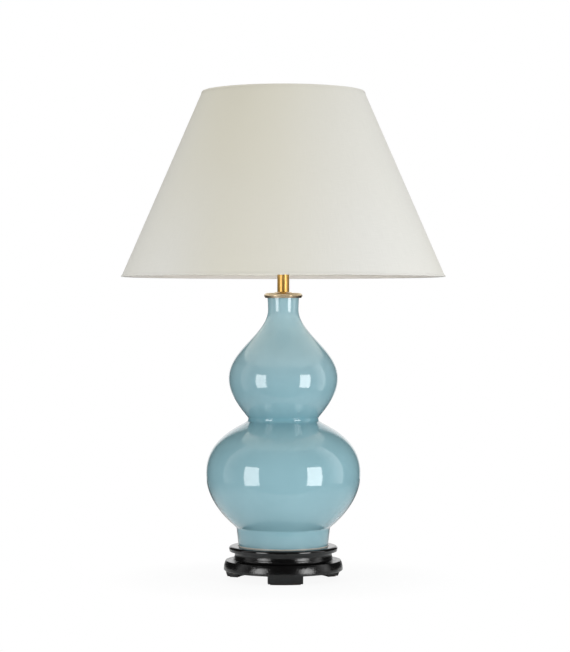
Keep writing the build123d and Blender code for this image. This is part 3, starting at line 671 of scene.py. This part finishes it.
# %% Rolled edge sizes
WIRE = 1.6  # radius of the ring's wire
GAP = 0.1
WIRE_DEPTH = COVER + LINER + WIRE + GAP  # from the outside of the cover to the wire's middle
STRIP = 0.4
RAW_END = 0.4  # share of the strip that is rounded off its outer raw end
OUTER_LEG, INNER_LEG = 2.2, 4.0  # how far its legs reach from the edge of the cloth
LEG_SHARE = 0.75  # the outer leg's rows take up this share of its height, and the corner the rest
CORNER = 0.9  # radius of its two corners
WANDER = 0.13  # of each of three sines
STRIP_LAP, STRIP_LAP_RAMP, STRIP_LAP_STEP = 11.2, 8.0, 0.25  # half its width, its ramp, its height
STRIP_LAP_RADIUS = 215.0  # where that width is measured
ARM_ANGLES = np.radians([-30.0, 90.0, 210.0])
SNIP, SNIPPED, SNIP_SLOPE = 2.0, 0.35, 9  # half its width, the leg it leaves, slope of its sides
STRIP_COLUMNS, CORNER_ROWS, LEG_ROWS = 600, 6, 7


def rolled_edge(name, node, edge, inwards, snips):
    """A closed strip round one rim: down its outer leg, round two corners, up its inner leg.

    A corner is a quarter circle, centre + radius * (cos, sin), and the section comes back by the
    same way, nearer to the centres by STRIP. The end of the inner leg wanders by a sum of sines
    with 5, 17 and 41 waves to a turn, and draws back at the snips.
    """
    angles = round_angles(STRIP_COLUMNS)
    sines = np.sin(angles * 5 + edge) + np.sin(angles * 17 + 1.3) + np.sin(angles * 41)
    leg = INNER_LEG + sines * WANDER
    for arm in snips:
        aside = np.abs(angles_from(arm, angles)) * cone_radius(edge)
        leg = np.where(aside < SNIP, SNIPPED, np.minimum(leg, SNIPPED + (aside - SNIP) * SNIP_SLOPE))
    off_lap = np.abs(angles_from(LAP_ANGLE, angles)) * STRIP_LAP_RADIUS
    lap = np.clip((STRIP_LAP - off_lap) / STRIP_LAP_RAMP, 0, 1) * STRIP_LAP_STEP

    fold = edge - inwards * (STRIP + GAP)
    centre = fold + inwards * CORNER
    outer_end = edge + inwards * OUTER_LEG
    inner_end = edge + inwards * leg
    out_top = cone_radius(outer_end, -STRIP - GAP)
    out_fold = cone_radius(fold, -STRIP - GAP)
    inside = cone_radius(edge + inwards * WIRE, WIRE_DEPTH) - WIRE - STRIP - GAP

    def corners(size):
        """The outer and then the inner quarter circle, as (radius, height) rows."""
        bend = np.linspace(0, pi / 2, CORNER_ROWS)
        outer = (out_fold - CORNER + size * np.cos(bend), centre - inwards * size * np.sin(bend))
        inner = (inside + CORNER - size * np.sin(bend), centre - inwards * size * np.cos(bend))
        return np.concatenate([np.stack(outer, -1), np.stack(inner, -1)])

    share = np.linspace(0, 1, LEG_ROWS)[1:-1]
    outer_leg = np.stack([out_top + (out_fold - out_top) * share,
                          outer_end + (fold - outer_end) * share * LEG_SHARE], -1)
    far = np.concatenate([[(out_top - STRIP * RAW_END, outer_end)], outer_leg, corners(CORNER)])
    near = np.concatenate([corners(CORNER - STRIP)[::-1], [(out_top - STRIP, outer_end)]])
    far_radius = far[:, :1] + lap * (far[:, :1] > inside + CORNER)
    end_radius = np.array([inside, inside, inside + STRIP])[:, None]
    end_height = np.stack([(centre + inner_end) / 2, inner_end, inner_end])
    rows = np.concatenate([turned(far_radius, far[:, 1:], angles),
                           turned(end_radius, end_height, angles),
                           turned(near[:, :1], near[:, 1:], angles)])
    steps = np.linalg.norm(np.diff(rows[:, 0], axis=0), axis=1)
    along = np.concatenate([[0], np.cumsum(steps)])
    columns = np.append(angles, 2 * pi) * cone_radius(edge) * MM
    return surface(name, rows, "ivory_binding", "shade", [node], cloth_map=(columns, along))


# %% Both rolled edges
bottom_edge = rolled_edge("bottom_edge", "bottom_trim", cloth_base, 1, [])
top_edge = rolled_edge("top_edge", "top_trim", cloth_top, -1, ARM_ANGLES)

# %% [markdown]
# ## Threads
#
# The bulb screws into a thin rolled shell, and both carry the same round thread: the height of
# a crest grows by one pitch while the angle grows by one turn. So a bulb that turns and
# rises by its joint stays in the groove. The same formula, with a finer pitch, cuts the rod's
# two ends and the skirt that the shade's ring screws on. A Screw modifier could wind a thread,
# but it leaves loose ends where this formula lets the groove run out.


# %% Turned and threaded pieces
def lathe(name, slot, body, node, profile, angles, cut=0.0, crisp=38):
    """A closed ring: every (radius, height) of the profile goes round the axis, less the cut."""
    radius, height = np.array(profile, float).T[:, :, None]
    return surface(name, turned(radius - cut, height, angles), slot, body, [node], crisp=crisp)


def thread(profile, angles, pitch, depth, low, high):
    """Depth of a groove: depth / 2 * (1 - cos(2 pi height / pitch - angle)), from low to high.

    It dies away in the last half pitch at both ends, and is nothing outside them.
    """
    height = np.array(profile, float)[:, 1:]
    fade = np.clip(np.minimum(height - low, high - height) / (pitch / 2), 0, 1)
    return depth / 2 * (1 - np.cos(2 * pi * height / pitch - angles)) * fade


def levels(low, high, pitch, rows_a_turn):
    """Heights close enough together to carry a thread."""
    return np.linspace(low, high, int((high - low) / pitch * rows_a_turn))


# %% Bulb and shell
PITCH = 3.629  # of the bulb's thread
BULB_WALL, BULB_GROOVE = (12.75, 13.1), 1.0  # inner and outer radius of the tube, and its groove
SHELL_WALL, SHELL_GROOVE = (13.45, 13.85), 0.9


def rolled_thread(name, slot, body, node, wall, depth):
    """A thin tube of wall (inner, outer) radius whose two faces both follow the thread."""
    low, high = [corner.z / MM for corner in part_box(node)]
    height = levels(low, high, PITCH, 10)
    profile = [(wall[1], level) for level in height] + [(wall[0], level) for level in height[::-1]]
    angles = round_angles(64)
    cut = thread(profile, angles, PITCH, depth, low, high)
    return lathe(name, slot, body, node, profile, angles, cut, crisp=50)


rolled_thread("bulb_thread", "bulb_metal", "bulb", "bulb_cap", BULB_WALL, BULB_GROOVE)
rolled_thread("shell_thread", "contact_brass", "lamp_base", "screw_shell", SHELL_WALL, SHELL_GROOVE)

# %% Rod
ROD, BORE = 5.0, 3.6  # radii
ROD_LOW, ROD_HIGH = 21.6, 444.5
ROD_CHAMFER = 0.5
ROD_ENDS = ((ROD_LOW + ROD_CHAMFER, 42.0), (428.0, ROD_HIGH - ROD_CHAMFER))  # where it is threaded
ROD_PITCH, ROD_GROOVE = 1.0, 0.55

rod_round = round_angles(40)
rod_levels = np.concatenate([levels(low, high, ROD_PITCH, 8) for low, high in ROD_ENDS])
rod_profile = [(ROD - ROD_CHAMFER, ROD_LOW)] + [(ROD, level) for level in rod_levels]
rod_profile += [(ROD - ROD_CHAMFER, ROD_HIGH), (BORE, ROD_HIGH), (BORE, ROD_LOW)]
rod_cut = sum(thread(rod_profile, rod_round, ROD_PITCH, ROD_GROOVE, low, high)
              for low, high in ROD_ENDS)
lathe("threaded_rod", "plated_steel", "lamp_base", "hollow_rod", rod_profile, rod_round, rod_cut, 50)

# %% Skirt of the lampholder
SKIRT, SKIRT_WALL = 19.9, 1.2  # outer radius, and thickness
COLLAR, COLLAR_BORE, COLLAR_FLOOR = 23.0, 20.45, 2.0  # radii of its collar, and the bore's depth
SKIRT_BASE, SHOULDER, SKIRT_TOP = 464.0, 468.0, 500.0
BROKEN = 0.4  # how far its sharp edges are broken
RUN_OUT = 0.6  # the thread stays this far above the shoulder
THREAD_LOW, THREAD_HIGH = SHOULDER + RUN_OUT, SKIRT_TOP - BROKEN
SKIRT_PITCH, SKIRT_GROOVE = 2.5, 0.6

skirt_round = round_angles(120)
skirt_profile = [(COLLAR_BORE, SKIRT_BASE), (COLLAR - BROKEN, SKIRT_BASE),
                 (COLLAR, SKIRT_BASE + BROKEN), (COLLAR, SHOULDER - BROKEN),
                 (COLLAR - BROKEN, SHOULDER), (SKIRT, SHOULDER)]
skirt_profile += [(SKIRT, level) for level in levels(THREAD_LOW, THREAD_HIGH, SKIRT_PITCH, 8)]
skirt_profile += [(SKIRT - BROKEN, SKIRT_TOP), (SKIRT - SKIRT_WALL, SKIRT_TOP),
                  (SKIRT - SKIRT_WALL, SKIRT_BASE + COLLAR_FLOOR),
                  (COLLAR_BORE, SKIRT_BASE + COLLAR_FLOOR)]
on_skirt = np.array(skirt_profile)[:, :1] == SKIRT
skirt_cut = thread(skirt_profile, skirt_round, SKIRT_PITCH, SKIRT_GROOVE, THREAD_LOW, THREAD_HIGH)
lathe("skirt_thread", "gold_brass", "lamp_base", "holder_skirt", skirt_profile, skirt_round,
      skirt_cut * on_skirt, 50)

# %% [markdown]
# ## Grips and heads
#
# The ring that holds the shade down has ribs for the fingers, the nut under the stand has its
# corners turned off so that it slides on the washer, and the three screws there have a cross
# for the driver. Each is again a radius or a height that depends on the angle. A boolean would
# cut the same shapes, but it leaves a tangle of faces where a grid stays even.

# %% Ribbed ring
RIBS, RIB_DEPTH = 44, 0.5
RIB_FLAT = 0.35  # a groove is where the cosine of its angle is less than this
RING, RING_EDGE = 25.0, 1.1  # outer radius, and radius of its rounded edges
RING_BORE, BORE_BROKEN = 19.95, 0.35
RING_LOW, RING_HIGH = 469.5, 476.0
RIBBED = 24.4  # the ribs are cut where the ring is wider than this

ring_round = round_angles(RIBS * 8)
low_edge = [(RING - RING_EDGE * (1 - sin(bend)), RING_LOW + RING_EDGE * (1 - cos(bend)))
            for bend in np.linspace(0, pi / 2, 5)]
high_edge = [(radius, RING_LOW + RING_HIGH - height) for radius, height in low_edge[::-1]]
ring_bore = [(RING_BORE + BORE_BROKEN, RING_HIGH), (RING_BORE, RING_HIGH - BORE_BROKEN),
             (RING_BORE, RING_LOW + BORE_BROKEN), (RING_BORE + BORE_BROKEN, RING_LOW)]
ring_profile = np.array(low_edge + high_edge + ring_bore)
ribs = RIB_DEPTH * np.clip(RIB_FLAT - np.cos(RIBS * ring_round), 0, 1)
ribs = ribs * (ring_profile[:, :1] > RIBBED)
lathe("ribbed_ring", "gold_brass", "shade", "shade_ring", ring_profile, ring_round, ribs)

# %% Hexagon nut
NUT_LOW, NUT_THICK = 23.6, 5.0
ACROSS = 17.0  # across the flats
TURNED_OFF = 1.0  # height of the cone at each end
FACE_INSET = 0.35  # how much smaller the round of each face is than half across the flats


def hexagon_nut():
    """A ring whose radius is the lesser of a hexagon's and a cone's.

    The hexagon's is half of ACROSS / cos(angle from the middle of a flat), and the cone's grows
    by 1 / tan(30 degrees) with the distance from the nearer face.
    """
    angles = round_angles(144)
    flats = ACROSS / 2 / np.cos((angles % (pi / 3)) - pi / 6)
    rise = np.linspace(0, TURNED_OFF, 6)
    level = np.concatenate([rise, NUT_THICK - rise[::-1]])[:, None]
    cone = ACROSS / 2 - FACE_INSET + np.minimum(level, NUT_THICK - level) / tan(pi / 6)
    bore = np.full_like(flats, ROD)
    radius = np.vstack([bore, np.minimum(flats, cone), bore])
    height = NUT_LOW + np.vstack([[0], level, [NUT_THICK]])
    return surface("chamfered_nut", turned(radius, height, angles), "plated_steel", "lamp_base",
                   ["base_nut"], crisp=25)


hexagon_nut()

# %% Cross-head screws
SCREW_CIRCLE, SCREW_BASE, SCREW_LENGTH = 53.5, 11.5, 24.0
HEAD, SHANK, SINK = 3.9, 2.0, 2.19  # radii of head and shank, and where the head's cone ends
FACE_EDGE, RIM_LOW, RIM_HIGH = 0.2, 0.15, 0.35  # the face is smaller by this, and the rim's heights
CROSS_DEPTH, CROSS_REACH, CROSS_WIDTH = 1.7, 2.3, 0.8
FOOT_ANGLES = np.radians([-90.0, 30.0, 150.0])


def cross_screws():
    """Three screws, head down: height above the head = depth * root of (1 - r / reach) in a cross.

    The cross is where r * |sin(2 angle)| is under its width, with a soft edge.
    """
    angles = round_angles(64)
    inner = np.append(np.arange(9) * 0.3, 2.8)[:, None]
    cross = 1 / (1 + (inner * np.abs(np.sin(2 * angles)) / CROSS_WIDTH) ** 6)
    recess = CROSS_DEPTH * np.clip(1 - inner / CROSS_REACH, 0, 1) ** 0.5 * cross
    rest = np.array([(HEAD - FACE_EDGE, 0.0), (HEAD, RIM_LOW), (HEAD, RIM_HIGH), (SHANK, SINK),
                     (SHANK, SCREW_LENGTH - SHANK), (0.0, SCREW_LENGTH)])
    radius = np.concatenate([inner + 0 * angles, rest[:, :1] + 0 * angles])
    height = SCREW_BASE + np.concatenate([recess, rest[:, 1:] + 0 * angles])
    screw = turned(radius, height, angles)
    places = turned(SCREW_CIRCLE, 0.0, FOOT_ANGLES)[:, None, None, :]
    return surface("cross_screws", screw[None] + places, "plated_steel", "lamp_base", ["stand_screws"],
                   closed=(False, True), crisp=30)


cross_screws()

# %% [markdown]
# ## Welds
#
# The three arms of the shade's frame are welded to its upper wire and to the flat ring in its
# middle, and the CAD model leaves the welds out. A plain ball would look like a pearl, so each
# lump is a ball with three different radii and a slight swell.

# %% Weld beads
WIRE_HEIGHT = cloth_top - WIRE
WIRE_REACH = cone_radius(WIRE_HEIGHT, WIRE_DEPTH)
FLAT_RING_REACH, FLAT_RING_HEIGHT = 52.0, 593.9
WIRE_BEAD, FLAT_RING_BEAD = (2.3, 2.5, 1.9), (2.6, 2.4, 1.2)  # half its length, width and height
SWELL, SWELLS = 0.08, 5


def weld_beads():
    """A ball of three radii at each weld, larger by SWELL * sin(SWELLS * angle) round its middle."""
    turn = round_angles(20)
    rise = np.linspace(-pi / 2, pi / 2, 12)[:, None]
    swell = 1 + SWELL * np.sin(turn * SWELLS) * np.cos(rise)
    ball = np.stack([np.cos(rise) * np.cos(turn), np.cos(rise) * np.sin(turn),
                     np.sin(rise) + 0 * turn], -1) * swell[..., None] * MM
    welds = ((WIRE_REACH - WIRE, WIRE_HEIGHT - WIRE / 2, WIRE_BEAD),
             (FLAT_RING_REACH, FLAT_RING_HEIGHT, FLAT_RING_BEAD))
    beads = []
    for arm in ARM_ANGLES:
        for reach, height, sizes in welds:
            bead = ball * sizes
            aside = bead[..., 0] * sin(arm) + bead[..., 1] * cos(arm)
            outwards = bead[..., 0] * cos(arm) - bead[..., 1] * sin(arm)
            beads.append(np.stack([outwards, aside, bead[..., 2]], -1) + turned(reach, height, arm))
    return surface("weld_beads", np.array(beads), "white_wire", "shade", closed=(False, True))


weld_beads()

# %% [markdown]
# ## The table
#
# A plain pale table carries the lamp's soft shadow. For the camera it fades to white a hand's
# breadth away, as the paper of a studio does, and from below it is clear. A large white room
# could do the same, but it would also light the lamp from everywhere. Far from the lamp the
# table is dark to every other ray, and it ends just in front of the lamp, so that a polished
# stand mirrors the dim room there and the lamps beside the camera shine from below its top.

# %% Table
SIDE, FRONT, BACK = 0.6, -0.25, 1.2  # half its width, and where its front and back edges are

floor_mesh = bpy.data.meshes.new("floor")
floor_corners = [(-SIDE, FRONT, 0), (SIDE, FRONT, 0), (SIDE, BACK, 0), (-SIDE, BACK, 0)]
floor_mesh.from_pydata(floor_corners, [], [(0, 1, 2, 3)])
floor = bpy.data.objects.new("floor", floor_mesh)
bpy.context.scene.collection.objects.link(floor)
print("table", 2 * SIDE, "x", BACK - FRONT)

# %% Paper
DARKENS = (0.12, 0.60)  # distances from the axis between which the paper turns dark
WHITENS = (0.13, 0.26)  # and between which it turns all white for the camera
SHADOW = 0.08  # how much of the lit paper shows in the white near the lamp

paper = Finish("paper", Roughness=1.0, Specular_IOR_Level=0.0)
fibres = paper.noise(400, 3)
pale = (1 - paper.reach().ramp(*DARKENS)) * (fibres * 0.04 + 0.96)
paper.feed("Base Color", paper.mix(pale, rgb(0.12, 0.12, 0.12), rgb(0.94, 0.94, 0.94)))
looks = paper.rays()
seen = (looks["Is Camera Ray"] + looks["Is Transmission Ray"]).ramp(0.0, 1.0)
seen_white = seen * (paper.reach().ramp(*WHITENS) * SHADOW + (1 - SHADOW))
from_below = paper.node("ShaderNodeNewGeometry", {}, {}, "Backfacing") * looks["Is Camera Ray"]
lit = Signal(paper, paper.shader.outputs[0])
white = paper.node("ShaderNodeEmission", {}, {"Color": rgb(1, 1, 1), "Strength": 1.0})
clear = paper.node("ShaderNodeBsdfTransparent", {}, {})
shown = paper.node("ShaderNodeMixShader", {}, {0: seen_white, 1: lit, 2: white})
shown = paper.node("ShaderNodeMixShader", {}, {0: from_below, 1: shown, 2: clear})
paper.tree.links.new(shown.socket, paper.tree.nodes["Material Output"].inputs["Surface"])
floor_mesh.materials.append(paper.material)
print("paper", len(paper.tree.nodes), "nodes")

# %% [markdown]
# ## The room
#
# The room's walls show only as shine, so a world of formulas stands for them: a white backdrop
# behind the lamp, a pale screen at each side, which makes the long crescents on the vase, and
# a dim ceiling. Real screens would do as well, but they would stand in the way of other views.
# The camera sees plain white, and the light from all round is a low glow, a little stronger
# from the right.

# %% Studio world
BACKDROP = (0.90, 0.97)  # cosines of the angle to the backdrop's middle, at its soft edges
SCREEN_NEAR, SCREEN_FAR = (0.17, 0.19), (-0.45, 0.15)  # and at the screens' edges
SCREEN_ENDS = (0.80, 0.97)  # sines of the height, up and down, where the screens die away
CEILING = (0.55, 0.95)  # and where the ceiling begins
BACKDROP_GLOW, CEILING_GLOW, WALL_GLOW = 0.95, 0.25, 0.03
EVEN_GLOW = 0.25  # light from all round
RIGHT_SIDE = 0.35  # how much brighter than the middle the right side is, and the left side darker


def studio_world():
    """White for the camera. Metal and gloss see a white backdrop, pale side screens, a dim room."""
    world = bpy.data.worlds.new("studio")
    bpy.context.scene.world = world
    world.use_nodes = True
    sky = Graph(world.node_tree)
    x, y, z = sky.split(sky.node("ShaderNodeTexCoord", {}, {}, "Generated"))
    flat_length = (x * x + y * y + 0.0001) ** 0.5
    facing = (y * cos(AZIMUTH) - x * sin(AZIMUTH)) / flat_length  # 1 at the backdrop, -1 behind
    screens = (1 - facing.ramp(*SCREEN_NEAR)) * facing.ramp(*SCREEN_FAR)
    screens = screens * (1 - z.size().ramp(*SCREEN_ENDS))
    to_the_right = x * RIGHT_SIDE + 1
    room = facing.ramp(*BACKDROP) * BACKDROP_GLOW + screens * to_the_right
    room = room + z.ramp(*CEILING) * CEILING_GLOW + WALL_GLOW
    looks = sky.rays()
    direct = (looks["Is Camera Ray"] + looks["Is Transmission Ray"]).ramp(0.0, 1.0)
    glossy = looks["Is Glossy Ray"]
    strength = direct + (1 - direct) * (glossy * room + (1 - glossy) * (to_the_right * EVEN_GLOW))
    glow = world.node_tree.nodes["Background"]
    glow.inputs["Color"].default_value = rgb(1, 1, 1)
    world.node_tree.links.new(strength.socket, glow.inputs["Strength"])
    print("world", len(world.node_tree.nodes), "nodes")


studio_world()

# %% [markdown]
# ## Soft lamps
#
# Two tall soft lamps beside the camera make the pairs of bright windows on the bulb and the
# belly. The other lamps only add light from above, the sides and behind: they leave no shine,
# because the room's formula already makes the shine of the walls. The last one lies just below
# the lower opening of the shade and shines up into it. It stands for the light that comes
# through the cloth. The cloth could be translucent instead, but with its closed skins that
# renders slowly and with much noise.


# %% Soft lamps
def soft_lamp(name, azimuth, elevation, distance, size, glow, aim=0.26, mirrored=True):
    """A rectangular lamp that looks at the axis at the height aim. Azimuth 0 is the camera's side.

    glow is the brightness of its face, and the power is that times pi times its area. A lamp
    that isn't mirrored lights the part and leaves no shine of its own on it.
    """
    light = bpy.data.lights.new(name, "AREA")
    light.shape = "RECTANGLE"
    light.size, light.size_y = size
    light.energy = glow * pi * size[0] * size[1]
    stand = bpy.data.objects.new(name, light)
    turn, tip = radians(azimuth) + AZIMUTH, radians(elevation)
    stand.location = (distance * sin(turn) * cos(tip), -distance * cos(turn) * cos(tip),
                      distance * sin(tip) + aim)
    stand.rotation_euler = (pi / 2 - tip, 0, turn)
    stand.visible_camera = False
    stand.visible_glossy = mirrored
    bpy.context.scene.collection.objects.link(stand)
    print(name, "power", round(light.energy, 2))


soft_lamp("lamp_left", azimuth=-46.5, elevation=-4.4, distance=1.5, size=(0.60, 1.00), glow=6.2)
soft_lamp("lamp_right", azimuth=46.5, elevation=-4.4, distance=1.5, size=(0.60, 1.00), glow=7.6)
soft_lamp("lamp_above", azimuth=0, elevation=90, distance=1.5, size=(2.4, 2.4), glow=0.9,
          mirrored=False)
soft_lamp("side_left", azimuth=-80, elevation=5, distance=1.5, size=(0.8, 1.2), glow=1.05,
          mirrored=False)
soft_lamp("side_right", azimuth=80, elevation=5, distance=1.5, size=(0.8, 1.2), glow=1.05,
          mirrored=False)
soft_lamp("lamp_behind", azimuth=180, elevation=10, distance=1.8, size=(0.9, 1.3), glow=4.0,
          mirrored=False)
soft_lamp("through_the_cloth", azimuth=0, elevation=-90, distance=0.017, size=(0.29, 0.29),
          glow=1.25, aim=0.403, mirrored=False)
